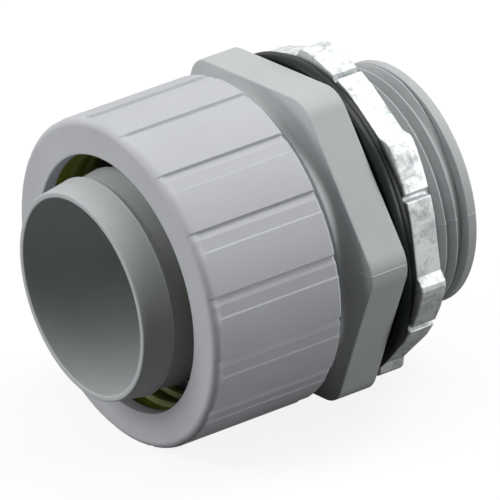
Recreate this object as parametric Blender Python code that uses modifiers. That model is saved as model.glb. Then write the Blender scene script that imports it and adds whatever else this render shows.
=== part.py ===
"""Straight non-metallic liquidtight conduit connector, trade size 1-1/4.

The connector lies on its side. Its own axis runs along world +X, from the barbed ferrule
that the flexible conduit is pushed over to the tapered hub that goes through an enclosure wall.
Each piece is modelled upright on local +Z and is placed on the axis by one empty.
Stations along the axis are measured from the gasket seat, the rear face of the hexagon.
"""
import math

import bmesh
import bpy
from mathutils import Matrix

MM = 0.001
INCH = 25.4 * MM

# Running fits and meshing
CLEARANCE = 0.30 * MM
RING_STEPS = 48
ROUND_STEPS = 2
MERGE = 0.00001
SHARP_ANGLE = math.radians(30.0)

# Flexible conduit that the connector takes
CONDUIT_BORE_RADIUS = 17.55 * MM
CONDUIT_WALL = 3.53 * MM
CONDUIT_FIT = 0.35 * MM

# Barbed ferrule
FERRULE_PROUD = 6.7 * MM
FERRULE_WALL = 1.0 * MM
RIM_EDGE = 0.3 * MM
BARB_HEIGHT = 0.8 * MM
BARB_ROOT_RISE = 0.1 * MM
BARB_PITCH = 5.4 * MM
BARB_LAND = 0.25 * MM
BARB_LAND_DROP = 0.1 * MM
BARB_BACK = 0.35 * MM

# Threaded collar for the compression nut
COLLAR_LENGTH = 15.5 * MM
COLLAR_WALL = 1.1 * MM
COLLAR_THREAD_DEPTH = 0.9 * MM
COLLAR_THREAD_PITCH = 3.0 * MM
COLLAR_THREAD_TURNS = 3.25
COLLAR_CHAMFER = 0.4 * MM
SHOULDER_LENGTH = 2.4 * MM
SHOULDER_FILLET = 1.2 * MM
FILLET_STEPS = 3
SOCKET_DEPTH = 4.7 * MM

# Hexagon
HEX_THICKNESS = 7.2 * MM
HEX_LEDGE = 0.6 * MM
HEX_CORNER_RADIUS = 5.2 * MM
HEX_EDGE = 0.35 * MM
HEX_CORNER_SEGMENTS = 8
HEX_TURN = math.radians(23.5)

# Tapered hub thread, eleven and a half threads to the inch
HUB_LENGTH = 20.3 * MM
HUB_BORE_STEP = 0.65 * MM
HUB_WALL = 3.4 * MM
HUB_BORE_TAPER = 6.0 * MM
HUB_MOUTH_ROUND = 0.8 * MM
HUB_THREADS_PER_INCH = 11.5
HUB_PITCH = INCH / HUB_THREADS_PER_INCH
HUB_THREAD_DEPTH = 1.25 * MM
HUB_TAPER = 1.0 / 32.0
HUB_LEAD = 2.6 * MM
HUB_LEAD_CHAMFER = 0.5 * MM
HUB_NECK = 0.9 * MM
HUB_RUNOUT = 0.8
THREAD_FLAT = 0.16
THREAD_ROOT_SINK = 0.15 * MM

# Seal ring in the collar's mouth
SEAL_WALL = 1.17 * MM
SEAL_LENGTH = 3.2 * MM
SEAL_EDGE = 0.3 * MM

# Grip ring between the nut's lip and the seal ring
GRIP_TAKE_UP = 2.9 * MM
GRIP_LENGTH = 8.0 * MM
GRIP_WALL = 0.45 * MM
GRIP_RIBS = 2
GRIP_RIB_PITCH = 3.4 * MM
GRIP_FIRST_RIB = 2.1 * MM
GRIP_RIB_LENGTH = 1.9 * MM
GRIP_RIB_FLANK = 0.5 * MM
GRIP_RIB_HEIGHT = 0.8 * MM
GRIP_CONE_SLOPE = 0.2

# Compression nut
NUT_GAP = 4.6 * MM
NUT_WALL = 2.05 * MM
NUT_STEP_HEIGHT = 0.65 * MM
NUT_RIDGE_HEIGHT = 0.85 * MM
NUT_RIBS = 16
NUT_STRIP_SHARE = 0.33
NUT_STEP_SHARE = 0.02
NUT_FRONT_ROUND = 1.3 * MM
NUT_RIB_START = 0.45
NUT_RIB_FADE = 1.6 * MM
NUT_REAR_ROUND = 0.6 * MM
NUT_MOUTH_FIT = 0.62 * MM
NUT_MOUTH_EDGE = 0.35 * MM
NUT_LIP = 2.3 * MM
NUT_BORE_CHAMFER = 0.6 * MM

# Hub gasket
GASKET_THICKNESS = 2.9 * MM
GASKET_PROUD = 1.1 * MM
GASKET_BEAD_WIDTH = 1.8 * MM
GASKET_BEAD_PROUD = 0.6 * MM
GASKET_GROOVE = 0.25 * MM
BEAD_STEPS = 4

# Locknut
LOCKNUT_THICKNESS = 4.8 * MM
LOCKNUT_WIDTH = 5.87 * MM
LOCKNUT_LUGS = 7
LOCKNUT_LUG_SPAN = math.radians(22.0)
LOCKNUT_LUG_HEIGHT = 1.1 * MM
LOCKNUT_FLAT_DROP = 0.4 * MM
LOCKNUT_NOTCH_DEPTH = 1.3 * MM
LOCKNUT_EDGE = 0.3 * MM
LOCKNUT_TURN = math.radians(-9.8)

# Stations, from the gasket seat
HEX_FRONT = -HEX_THICKNESS
COLLAR_FRONT = HEX_FRONT - COLLAR_LENGTH
SEAL_FLOOR = COLLAR_FRONT + SEAL_LENGTH
SEAL_FRONT = SEAL_FLOOR - CLEARANCE - SEAL_LENGTH
SOCKET_FLOOR = COLLAR_FRONT + SOCKET_DEPTH
GRIP_FRONT = SEAL_FRONT - GRIP_TAKE_UP - GRIP_LENGTH
NUT_FRONT = GRIP_FRONT - CLEARANCE - NUT_LIP
NUT_REAR = HEX_FRONT - NUT_GAP
NUT_LENGTH = NUT_REAR - NUT_FRONT
RIM = NUT_FRONT - FERRULE_PROUD
GASKET_FRONT = CLEARANCE
LOCKNUT_FRONT = GASKET_FRONT + GASKET_THICKNESS + CLEARANCE

# Radii, from the conduit outwards
CONDUIT_RADIUS = CONDUIT_BORE_RADIUS + CONDUIT_WALL
THROAT_RADIUS = CONDUIT_BORE_RADIUS - FERRULE_WALL
BARB_ROOT_RADIUS = CONDUIT_BORE_RADIUS + BARB_ROOT_RISE
BARB_RADIUS = BARB_ROOT_RADIUS + BARB_HEIGHT
BARB_COUNT = int((SOCKET_FLOOR - RIM) / BARB_PITCH)
SOCKET_RADIUS = CONDUIT_RADIUS + CONDUIT_FIT
SEAL_POCKET_RADIUS = SOCKET_RADIUS + SEAL_WALL + CLEARANCE
COLLAR_ROOT_RADIUS = SEAL_POCKET_RADIUS + COLLAR_WALL
COLLAR_THREAD_RADIUS = COLLAR_ROOT_RADIUS + COLLAR_THREAD_DEPTH
SHOULDER_RADIUS = COLLAR_THREAD_RADIUS - CLEARANCE
HEX_INNER_RADIUS = SHOULDER_RADIUS + SHOULDER_FILLET + HEX_LEDGE
GRIP_GROOVE_RADIUS = SOCKET_RADIUS + GRIP_RIB_HEIGHT
GRIP_OUTER_RADIUS = GRIP_GROOVE_RADIUS + GRIP_WALL
NUT_MOUTH_RADIUS = CONDUIT_RADIUS + NUT_MOUTH_FIT
NUT_BORE_RADIUS = COLLAR_THREAD_RADIUS + CLEARANCE
NUT_VALLEY_RADIUS = NUT_BORE_RADIUS + NUT_WALL
NUT_FACET_END_RADIUS = NUT_VALLEY_RADIUS + NUT_STEP_HEIGHT
NUT_RIDGE_RADIUS = NUT_VALLEY_RADIUS + NUT_RIDGE_HEIGHT
HUB_BORE_RADIUS = THROAT_RADIUS + HUB_BORE_STEP
HUB_END_RADIUS = HUB_BORE_RADIUS + HUB_WALL


def hub_crest_radius(station):
    """Radius over the tapered hub thread at a station."""
    return HUB_END_RADIUS + (HUB_LENGTH - station) * HUB_TAPER


GASKET_BORE_RADIUS = hub_crest_radius(0.0) + CLEARANCE
GASKET_BEAD_RADIUS = HEX_INNER_RADIUS + GASKET_PROUD
GASKET_FLANGE_RADIUS = GASKET_BEAD_RADIUS - GASKET_BEAD_PROUD
LOCKNUT_BORE_RADIUS = hub_crest_radius(LOCKNUT_FRONT) + CLEARANCE
LOCKNUT_FACET_RADIUS = LOCKNUT_BORE_RADIUS + LOCKNUT_WIDTH

# The ribbed nut carries the connector on a level surface, on one of its wide facets
RIB_ANGLE = 2.0 * math.pi / NUT_RIBS
FACET_SHARE = 1.0 - NUT_STRIP_SHARE - NUT_STEP_SHARE
FACET_ANGLE = RIB_ANGLE * FACET_SHARE
FACET_CHORD = math.sqrt(
    NUT_RIDGE_RADIUS ** 2 + NUT_FACET_END_RADIUS ** 2
    - 2.0 * NUT_RIDGE_RADIUS * NUT_FACET_END_RADIUS * math.cos(FACET_ANGLE)
)
AXIS_HEIGHT = NUT_RIDGE_RADIUS * NUT_FACET_END_RADIUS * math.sin(FACET_ANGLE) / FACET_CHORD
FACET_LEAN = math.acos(AXIS_HEIGHT / NUT_RIDGE_RADIUS)
RIBS_PAST_TOP = NUT_RIBS // 2 - 1
NUT_TURN = math.pi - (NUT_STRIP_SHARE + RIBS_PAST_TOP) * RIB_ANGLE - FACET_LEAN
SEAT_X = -(RIM + HUB_LENGTH) / 2.0


def clear_scene():
    for item in list(bpy.data.objects):
        bpy.data.objects.remove(item, do_unlink=True)


def new_collection(name):
    collection = bpy.data.collections.new(name)
    bpy.context.scene.collection.children.link(collection)
    return collection


def finish(name, color, roughness, metallic=0.0):
    """One Principled material with the piece's colour."""
    material = bpy.data.materials.new(name)
    material.use_nodes = True
    shader = material.node_tree.nodes["Principled BSDF"]
    shader.inputs["Base Color"].default_value = (*color, 1.0)
    shader.inputs["Roughness"].default_value = roughness
    shader.inputs["Metallic"].default_value = metallic
    return material


def piece(name, mesh, material, station, turn=0.0):
    """A named piece on the connector's axis."""
    mesh.name = name
    mesh.shade_smooth()
    mesh.set_sharp_from_angle(angle=SHARP_ANGLE)
    mesh.materials.clear()
    mesh.materials.append(material)
    item = bpy.data.objects.new(name, mesh)
    parts.objects.link(item)
    item.parent = axis
    item.location = (0.0, 0.0, station)
    item.rotation_euler = (0.0, 0.0, turn)
    return item


def helper(name, mesh, station=0.0, turn=0.0):
    """A shape that is joined to a piece or cut from it, and never shown."""
    item = bpy.data.objects.new(name, mesh)
    cutters.objects.link(item)
    item.parent = axis
    item.location = (0.0, 0.0, station)
    item.rotation_euler = (0.0, 0.0, turn)
    item.display_type = "WIRE"
    item.hide_render = True
    return item


def combine(target, tool, operation):
    modifier = target.modifiers.new(tool.name, "BOOLEAN")
    modifier.operation = operation
    modifier.solver = "EXACT"
    modifier.object = tool


def turned(name, profile, steps=RING_STEPS):
    """Mesh of a closed (radius, height) profile turned about local Z.

    The profile runs down the outer side and up the inner side.
    """
    outline = bpy.data.meshes.new(name)
    points = [(radius, 0.0, height) for radius, height in profile]
    edges = [(k, (k + 1) % len(points)) for k in range(len(points))]
    outline.from_pydata(points, edges, [])
    item = bpy.data.objects.new(name, outline)
    cutters.objects.link(item)
    screw = item.modifiers.new("turn", "SCREW")
    screw.axis = "Z"
    screw.steps = steps
    screw.render_steps = steps
    screw.use_merge_vertices = True
    screw.merge_threshold = MERGE
    graph = bpy.context.evaluated_depsgraph_get()
    mesh = bpy.data.meshes.new_from_object(item.evaluated_get(graph))
    bpy.data.objects.remove(item, do_unlink=True)
    bpy.data.meshes.remove(outline)
    face_outwards(mesh)
    return mesh


def face_outwards(mesh):
    shape = bmesh.new()
    shape.from_mesh(mesh)
    bmesh.ops.remove_doubles(shape, verts=shape.verts, dist=MERGE)
    bmesh.ops.recalc_face_normals(shape, faces=shape.faces)
    shape.to_mesh(mesh)
    shape.free()


def lofted(name, rings):
    """Mesh of a closed tube of rings, each with as many points as the next."""
    shape = bmesh.new()
    rows = [[shape.verts.new(point) for point in ring] for ring in rings]
    count = len(rows[0])
    for row, following in zip(rows, rows[1:] + rows[:1]):
        for k in range(count):
            after = (k + 1) % count
            shape.faces.new((row[k], row[after], following[after], following[k]))
    bmesh.ops.recalc_face_normals(shape, faces=shape.faces)
    mesh = bpy.data.meshes.new(name)
    shape.to_mesh(mesh)
    shape.free()
    return mesh


def thread_ridge(name, root, depth, pitch, turns, start, taper=0.0):
    """Mesh of one helical ridge on the core's own steps, its ends chamfered down into the core.

    root is the core's radius at height zero, and start is the height of the first section.
    """
    low = root - THREAD_ROOT_SINK
    crest = root + depth
    crest_half = THREAD_FLAT * pitch / 2.0
    flank = (pitch - 2.0 * THREAD_FLAT * pitch) / 2.0
    low_half = crest_half + flank * (crest - low) / depth
    shape = bmesh.new()
    section = [
        shape.verts.new((low, 0.0, start + low_half)),
        shape.verts.new((crest, 0.0, start + crest_half)),
        shape.verts.new((crest, 0.0, start - crest_half)),
        shape.verts.new((low, 0.0, start - low_half)),
    ]
    face = shape.faces.new(section)
    steps = round(turns * RING_STEPS)
    bmesh.ops.spin(
        shape,
        geom=section + list(shape.edges) + [face],
        cent=(0.0, 0.0, 0.0),
        axis=(0.0, 0.0, 1.0),
        dvec=(0.0, 0.0, pitch / RING_STEPS),
        angle=2.0 * math.pi * steps / RING_STEPS,
        steps=steps,
    )
    end = start + pitch * steps / RING_STEPS
    for vert in shape.verts:
        radius = math.hypot(vert.co.x, vert.co.y)
        from_end = min(vert.co.z - start, end - vert.co.z) - low_half
        chamfer = max(root - THREAD_ROOT_SINK / 2.0, root + depth * from_end / (pitch / 2.0))
        scale = (min(radius, chamfer) - vert.co.z * taper) / radius
        vert.co.x *= scale
        vert.co.y *= scale
    bmesh.ops.recalc_face_normals(shape, faces=shape.faces)
    mesh = bpy.data.meshes.new(name)
    shape.to_mesh(mesh)
    shape.free()
    return mesh


def circle_at(angles, radius, height):
    """One level circle with a point at each angle."""
    return [(radius * math.cos(angle), radius * math.sin(angle), height) for angle in angles]


def hexagon_ring(inset, height):
    """One level outline of the hexagon with rounded corners, drawn in by inset."""
    corner_centre = (HEX_INNER_RADIUS - HEX_CORNER_RADIUS) / math.cos(math.radians(30.0))
    ring = []
    for corner in range(6):
        middle = math.radians(60.0) * corner
        for k in range(HEX_CORNER_SEGMENTS + 1):
            swing = middle + math.radians(60.0) * (k / HEX_CORNER_SEGMENTS - 0.5)
            across = (HEX_CORNER_RADIUS - inset) * math.cos(swing)
            along = (HEX_CORNER_RADIUS - inset) * math.sin(swing)
            ring.append((corner_centre * math.cos(middle) + across,
                         corner_centre * math.sin(middle) + along, height))
    return ring


def rounded_hexagon(name):
    """Mesh of the hexagon, its rims eased and its eye inside the passage's wall."""
    rim = HEX_THICKNESS / 2.0
    hub_root = hub_crest_radius(0.0) - HUB_THREAD_DEPTH
    eye_radius = (THROAT_RADIUS + hub_root) / 2.0
    count = 6 * (HEX_CORNER_SEGMENTS + 1)
    first = -HEX_CORNER_SEGMENTS / 2.0
    angles = [2.0 * math.pi * (first + k) / count for k in range(count)]
    rings = [
        circle_at(angles, eye_radius, -rim),
        hexagon_ring(HEX_EDGE, -rim),
        hexagon_ring(0.0, HEX_EDGE - rim),
        hexagon_ring(0.0, rim - HEX_EDGE),
        hexagon_ring(HEX_EDGE, rim),
        circle_at(angles, eye_radius, rim),
    ]
    return lofted(name, rings)


def quarter_round(radius, steps):
    """(inset, drop) pairs of a quarter circle, from full inset to full drop."""
    swings = [math.radians(90.0) * k / steps for k in range(steps + 1)]
    return [(radius * (1.0 - math.sin(swing)), radius * (1.0 - math.cos(swing)))
            for swing in swings]


def body_profile():
    """Outer side from the hub's end down to the ferrule's rim, then back up the passage."""
    lead_start = HUB_LENGTH - HUB_LEAD
    hub_root_top = hub_crest_radius(lead_start) - HUB_THREAD_DEPTH
    hub_root_low = hub_crest_radius(0.0) - HUB_THREAD_DEPTH
    inside_hex = -HEX_THICKNESS / 2.0
    profile = [
        (HUB_END_RADIUS - HUB_LEAD_CHAMFER, HUB_LENGTH),
        (HUB_END_RADIUS, HUB_LENGTH - HUB_LEAD_CHAMFER),
        (HUB_END_RADIUS, lead_start),
        (hub_root_top, lead_start - HUB_LEAD_CHAMFER),
        (hub_root_low, 0.0),
        (hub_root_low, inside_hex),
        (SHOULDER_RADIUS + SHOULDER_FILLET, inside_hex),
    ]
    for across, along in quarter_round(SHOULDER_FILLET, FILLET_STEPS):
        profile.append((SHOULDER_RADIUS + across, HEX_FRONT - along))
    profile += [
        (SHOULDER_RADIUS, HEX_FRONT - SHOULDER_LENGTH),
        (COLLAR_ROOT_RADIUS, HEX_FRONT - SHOULDER_LENGTH - COLLAR_CHAMFER),
        (COLLAR_ROOT_RADIUS, COLLAR_FRONT + COLLAR_CHAMFER),
        (COLLAR_ROOT_RADIUS - COLLAR_CHAMFER, COLLAR_FRONT),
        (SEAL_POCKET_RADIUS, COLLAR_FRONT),
        (SEAL_POCKET_RADIUS, SEAL_FLOOR),
        (SOCKET_RADIUS, SEAL_FLOOR),
        (SOCKET_RADIUS, SOCKET_FLOOR),
        (BARB_ROOT_RADIUS, SOCKET_FLOOR),
    ]
    for k in range(BARB_COUNT, 0, -1):
        crest = RIM + k * BARB_PITCH
        profile += [
            (BARB_ROOT_RADIUS, crest + BARB_BACK),
            (BARB_RADIUS, crest),
            (BARB_RADIUS - BARB_LAND_DROP, crest - BARB_LAND),
        ]
    profile += [
        (CONDUIT_BORE_RADIUS, RIM + RIM_EDGE),
        (CONDUIT_BORE_RADIUS - RIM_EDGE, RIM),
        (THROAT_RADIUS + RIM_EDGE, RIM),
        (THROAT_RADIUS, RIM + RIM_EDGE),
        (THROAT_RADIUS, HEX_FRONT),
        (HUB_BORE_RADIUS, HEX_FRONT + HUB_BORE_TAPER),
    ]
    for across, along in reversed(quarter_round(HUB_MOUTH_ROUND, ROUND_STEPS)):
        profile.append((HUB_BORE_RADIUS + across, HUB_LENGTH - along))
    return profile


def build_body(material):
    """Body: one moulding with ferrule, threaded collar, hexagon and tapered hub."""
    body = piece("body", turned("body", body_profile()), material, 0.0)
    hexagon = helper("hexagon_blank", rounded_hexagon("hexagon_blank"), HEX_FRONT / 2.0, HEX_TURN)
    combine(body, hexagon, "UNION")
    hub_turns = (HUB_LENGTH - HUB_LEAD - HUB_NECK) / HUB_PITCH - HUB_RUNOUT
    hub_ridge = thread_ridge("hub_thread", hub_crest_radius(0.0) - HUB_THREAD_DEPTH,
                             HUB_THREAD_DEPTH, HUB_PITCH, hub_turns, HUB_NECK, HUB_TAPER)
    combine(body, helper("hub_thread", hub_ridge), "UNION")
    collar_ridge = thread_ridge("collar_thread", COLLAR_ROOT_RADIUS, COLLAR_THREAD_DEPTH,
                                COLLAR_THREAD_PITCH, COLLAR_THREAD_TURNS,
                                COLLAR_FRONT + COLLAR_CHAMFER + COLLAR_THREAD_PITCH / 2.0)
    combine(body, helper("collar_thread", collar_ridge), "UNION")
    return body


def angles_of(outline):
    return [math.atan2(y, x) for x, y, height in outline]


def nut_outline(rib_share, inset, height):
    """Ribbed outline: a narrow strip rises to a ridge, and a wide facet ends in a step down.

    rib_share fades the ribs into a round shoulder, and inset draws the outline inwards.
    """
    middle_radius = AXIS_HEIGHT / math.cos(FACET_ANGLE / 2.0 - FACET_LEAN)
    corners = [
        (0.0, NUT_VALLEY_RADIUS),
        (NUT_STRIP_SHARE, NUT_RIDGE_RADIUS),
        (NUT_STRIP_SHARE + FACET_SHARE / 2.0, middle_radius),
        (1.0 - NUT_STEP_SHARE, NUT_FACET_END_RADIUS),
    ]
    points = []
    for rib in range(NUT_RIBS):
        for share, full in corners:
            angle = (rib + share) * RIB_ANGLE
            radius = AXIS_HEIGHT + (full - AXIS_HEIGHT) * rib_share - inset
            points.append((radius * math.cos(angle), radius * math.sin(angle), height))
    return points


def nut_rings():
    """Rings of the nut from the mouth, over the ribs to the rear, and back through the bore."""
    angles = angles_of(nut_outline(1.0, 0.0, 0.0))
    cone_start = GRIP_OUTER_RADIUS + CLEARANCE
    cone_length = GRIP_LENGTH + CLEARANCE
    rings = [
        circle_at(angles, NUT_MOUTH_RADIUS, NUT_MOUTH_EDGE),
        circle_at(angles, NUT_MOUTH_RADIUS + NUT_MOUTH_EDGE, 0.0),
    ]
    for inset, height in quarter_round(NUT_FRONT_ROUND, ROUND_STEPS):
        rings.append(nut_outline(NUT_RIB_START * height / NUT_FRONT_ROUND, inset, height))
    rings.append(nut_outline(1.0, 0.0, NUT_FRONT_ROUND + NUT_RIB_FADE))
    for inset, drop in reversed(quarter_round(NUT_REAR_ROUND, ROUND_STEPS)):
        rings.append(nut_outline(1.0, inset, NUT_LENGTH - drop))
    rings += [
        circle_at(angles, NUT_BORE_RADIUS + NUT_BORE_CHAMFER, NUT_LENGTH),
        circle_at(angles, NUT_BORE_RADIUS, NUT_LENGTH - NUT_BORE_CHAMFER),
        circle_at(angles, NUT_BORE_RADIUS, NUT_LIP + cone_length + CLEARANCE),
        circle_at(angles, cone_start + cone_length * GRIP_CONE_SLOPE, NUT_LIP + cone_length),
        circle_at(angles, cone_start, NUT_LIP),
        circle_at(angles, NUT_MOUTH_RADIUS, NUT_LIP),
    ]
    return rings


def build_nut(material):
    """Compression nut: one moulding, ribbed for the hand, with a coned seat for the grip ring."""
    return piece("compression_nut", lofted("compression_nut", nut_rings()), material,
                 NUT_FRONT, NUT_TURN)


def build_grip_ring(material):
    """Grip ring: a coned sleeve with inner ribs that press the conduit's jacket."""
    profile = [
        (GRIP_OUTER_RADIUS + GRIP_LENGTH * GRIP_CONE_SLOPE, GRIP_LENGTH),
        (GRIP_OUTER_RADIUS, 0.0),
        (GRIP_GROOVE_RADIUS, 0.0),
    ]
    for k in range(GRIP_RIBS):
        start = GRIP_FIRST_RIB + k * GRIP_RIB_PITCH
        profile += [
            (GRIP_GROOVE_RADIUS, start),
            (SOCKET_RADIUS, start + GRIP_RIB_FLANK),
            (SOCKET_RADIUS, start + GRIP_RIB_LENGTH - GRIP_RIB_FLANK),
            (GRIP_GROOVE_RADIUS, start + GRIP_RIB_LENGTH),
        ]
    profile.append((GRIP_GROOVE_RADIUS, GRIP_LENGTH))
    return piece("grip_ring", turned("grip_ring", profile), material, GRIP_FRONT)


def build_seal_ring(material):
    """Seal ring: plain rubber ring in the collar's pocket, sealing round the conduit."""
    outer = SOCKET_RADIUS + SEAL_WALL
    profile = [
        (outer, SEAL_LENGTH),
        (outer, SEAL_EDGE),
        (outer - SEAL_EDGE, 0.0),
        (SOCKET_RADIUS + SEAL_EDGE, 0.0),
        (SOCKET_RADIUS, SEAL_EDGE),
        (SOCKET_RADIUS, SEAL_LENGTH),
    ]
    return piece("seal_ring", turned("seal_ring", profile), material, SEAL_FRONT)


def build_gasket(material):
    """Hub gasket: rubber ring with a round bead at the hexagon and a flat flange behind it."""
    half = GASKET_BEAD_WIDTH / 2.0
    bead_middle = GASKET_BEAD_RADIUS - half
    profile = [
        (GASKET_FLANGE_RADIUS - GASKET_GROOVE, GASKET_THICKNESS),
        (GASKET_FLANGE_RADIUS, GASKET_THICKNESS - GASKET_GROOVE),
        (GASKET_FLANGE_RADIUS, GASKET_BEAD_WIDTH + GASKET_GROOVE),
        (bead_middle - GASKET_GROOVE, GASKET_BEAD_WIDTH),
    ]
    for k in range(1, BEAD_STEPS + 1):
        swing = math.pi * (0.5 - k / BEAD_STEPS)
        profile.append((bead_middle + half * math.cos(swing), half + half * math.sin(swing)))
    profile += [
        (GASKET_BORE_RADIUS, 0.0),
        (GASKET_BORE_RADIUS, GASKET_THICKNESS),
    ]
    return piece("hub_gasket", turned("hub_gasket", profile), material, GASKET_FRONT)


def locknut_outline(inset, height):
    """Locknut outline: each lug ramps up to a peak, falls away and ends in a narrow notch."""
    lug = [
        (0.00, -LOCKNUT_FLAT_DROP),
        (0.12, LOCKNUT_LUG_HEIGHT * 0.8),
        (0.20, LOCKNUT_LUG_HEIGHT),
        (0.32, LOCKNUT_LUG_HEIGHT * 0.9),
        (0.65, LOCKNUT_LUG_HEIGHT * 0.4),
        (0.97, 0.0),
        (1.00, -LOCKNUT_NOTCH_DEPTH),
        (1.10, -LOCKNUT_NOTCH_DEPTH),
        (1.13, 0.0),
    ]
    lug_pitch = 2.0 * math.pi / LOCKNUT_LUGS
    flat_middle = (lug_pitch / LOCKNUT_LUG_SPAN + lug[-1][0]) / 2.0
    lug.append((flat_middle, -LOCKNUT_FLAT_DROP))
    points = []
    for k in range(LOCKNUT_LUGS):
        for share, rise in lug:
            angle = k * lug_pitch + share * LOCKNUT_LUG_SPAN
            radius = LOCKNUT_FACET_RADIUS + rise - inset
            points.append((radius * math.cos(angle), radius * math.sin(angle), height))
    return points


def build_locknut(material):
    """Locknut: plated steel, with ramped lugs and notches for a driver."""
    angles = angles_of(locknut_outline(0.0, 0.0))
    rings = [
        circle_at(angles, LOCKNUT_BORE_RADIUS + LOCKNUT_EDGE, 0.0),
        locknut_outline(LOCKNUT_EDGE, 0.0),
        locknut_outline(0.0, LOCKNUT_EDGE),
        locknut_outline(0.0, LOCKNUT_THICKNESS - LOCKNUT_EDGE),
        locknut_outline(LOCKNUT_EDGE, LOCKNUT_THICKNESS),
        circle_at(angles, LOCKNUT_BORE_RADIUS + LOCKNUT_EDGE, LOCKNUT_THICKNESS),
        circle_at(angles, LOCKNUT_BORE_RADIUS, LOCKNUT_THICKNESS - LOCKNUT_EDGE),
        circle_at(angles, LOCKNUT_BORE_RADIUS, LOCKNUT_EDGE),
    ]
    return piece("locknut", lofted("locknut", rings), material, LOCKNUT_FRONT, LOCKNUT_TURN)


clear_scene()
parts = new_collection("liquidtight_conduit_connector")
cutters = new_collection("connector_cutters")

axis = bpy.data.objects.new("connector_axis", None)
parts.objects.link(axis)
axis.matrix_world = Matrix(((0.0, 0.0, 1.0, SEAT_X),
                            (0.0, -1.0, 0.0, 0.0),
                            (1.0, 0.0, 0.0, AXIS_HEIGHT),
                            (0.0, 0.0, 0.0, 1.0)))

grey_plastic = finish("grey_plastic", (0.40, 0.42, 0.44), 0.42)
olive_plastic = finish("olive_plastic", (0.16, 0.18, 0.02), 0.45)
black_rubber = finish("black_rubber", (0.012, 0.015, 0.014), 0.5)
zinc_steel = finish("zinc_steel", (0.75, 0.77, 0.78), 0.28, 1.0)

build_body(grey_plastic)
build_nut(grey_plastic)
build_grip_ring(olive_plastic)
build_seal_ring(black_rubber)
build_gasket(black_rubber)
build_locknut(zinc_steel)
bpy.context.view_layer.update()
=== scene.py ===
import math

import bmesh
import bpy
from mathutils import Matrix, Vector


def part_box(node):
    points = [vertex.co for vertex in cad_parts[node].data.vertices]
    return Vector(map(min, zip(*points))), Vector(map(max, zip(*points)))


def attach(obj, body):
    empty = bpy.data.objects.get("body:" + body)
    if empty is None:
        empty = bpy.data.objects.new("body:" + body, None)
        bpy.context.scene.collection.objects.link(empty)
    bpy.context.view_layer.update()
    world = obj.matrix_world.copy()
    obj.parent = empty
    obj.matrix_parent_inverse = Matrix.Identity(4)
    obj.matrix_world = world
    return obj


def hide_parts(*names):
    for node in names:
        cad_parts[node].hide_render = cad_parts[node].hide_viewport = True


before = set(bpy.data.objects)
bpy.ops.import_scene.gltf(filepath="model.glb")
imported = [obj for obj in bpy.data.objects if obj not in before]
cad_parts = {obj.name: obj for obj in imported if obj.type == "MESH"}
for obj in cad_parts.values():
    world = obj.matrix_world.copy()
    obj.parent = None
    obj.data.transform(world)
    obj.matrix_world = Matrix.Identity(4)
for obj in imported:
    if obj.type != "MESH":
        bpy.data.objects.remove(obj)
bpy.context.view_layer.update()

# Body: one moulding of grey plastic with a barbed ferrule for the conduit, a threaded collar for
# the compression nut, a hexagon for a wrench and a tapered pipe thread for the enclosure.
# Stations run along its axis from the hexagon's rear face, where the hub gasket is seated.
MM = 0.001
INCH = 25.4 * MM
CLEARANCE = 0.3 * MM

THROAT_RADIUS = 16.55 * MM
RIM_RADIUS = 17.55 * MM
RIM_ROUND = 0.35 * MM
BARB_ROOT_RADIUS = 17.65 * MM
BARB_ROOT_ROUND = 0.4 * MM
BARB_RADIUS = 18.45 * MM
BARB_TIP_ROUND = 0.08 * MM
BARB_PITCH = 5.4 * MM
BARB_COUNT = 4
BARB_LAND = 0.3 * MM
BARB_LAND_DROP = 0.1 * MM
BARB_BACK = 0.35 * MM

SOCKET_RADIUS = 21.43 * MM
SOCKET_DEPTH = 4.7 * MM
SEAL_POCKET_RADIUS = 22.9 * MM
SEAL_POCKET_DEPTH = 3.2 * MM
COLLAR_ROOT_RADIUS = 24.0 * MM
COLLAR_LENGTH = 15.5 * MM
COLLAR_CHAMFER = 0.4 * MM
COLLAR_THREAD_PITCH = 3.0 * MM
COLLAR_THREAD_DEPTH = 0.9 * MM
COLLAR_FIRST_CREST = 1.9 * MM
COLLAR_CREST_TURNS = 3.25
SHOULDER_RADIUS = 24.6 * MM
SHOULDER_LENGTH = 2.4 * MM
SHOULDER_LEAD = 0.4 * MM
SHOULDER_FILLET = 1.2 * MM
SHOULDER_REACH = 0.4 * MM
FILLET_STEPS = 6

HEX_THICKNESS = 7.2 * MM
BURIED_RADIUS = 21.0 * MM

HUB_BORE_RADIUS = 17.2 * MM
HUB_BORE_TAPER = 6.0 * MM
HUB_BORE_BLEND = 4.0 * MM
HUB_MOUTH_ROUND = 0.8 * MM
HUB_END_RADIUS = 20.6 * MM
HUB_END_CHAMFER = 0.45 * MM
HUB_TAPER = 1.0 / 32.0
HUB_LEAD = 2.3 * MM
HUB_LEAD_RISE = 0.35 * MM
HUB_REACH = 0.5 * MM
HUB_THREADS_PER_INCH = 11.5
HUB_THREAD_PITCH = INCH / HUB_THREADS_PER_INCH
HUB_THREAD_DEPTH = 1.5 * MM
HUB_THREAD_START = 0.15 * MM
HUB_FIRST_CREST = 2.2 * MM
HUB_CREST_TURNS = 7.15

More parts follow.
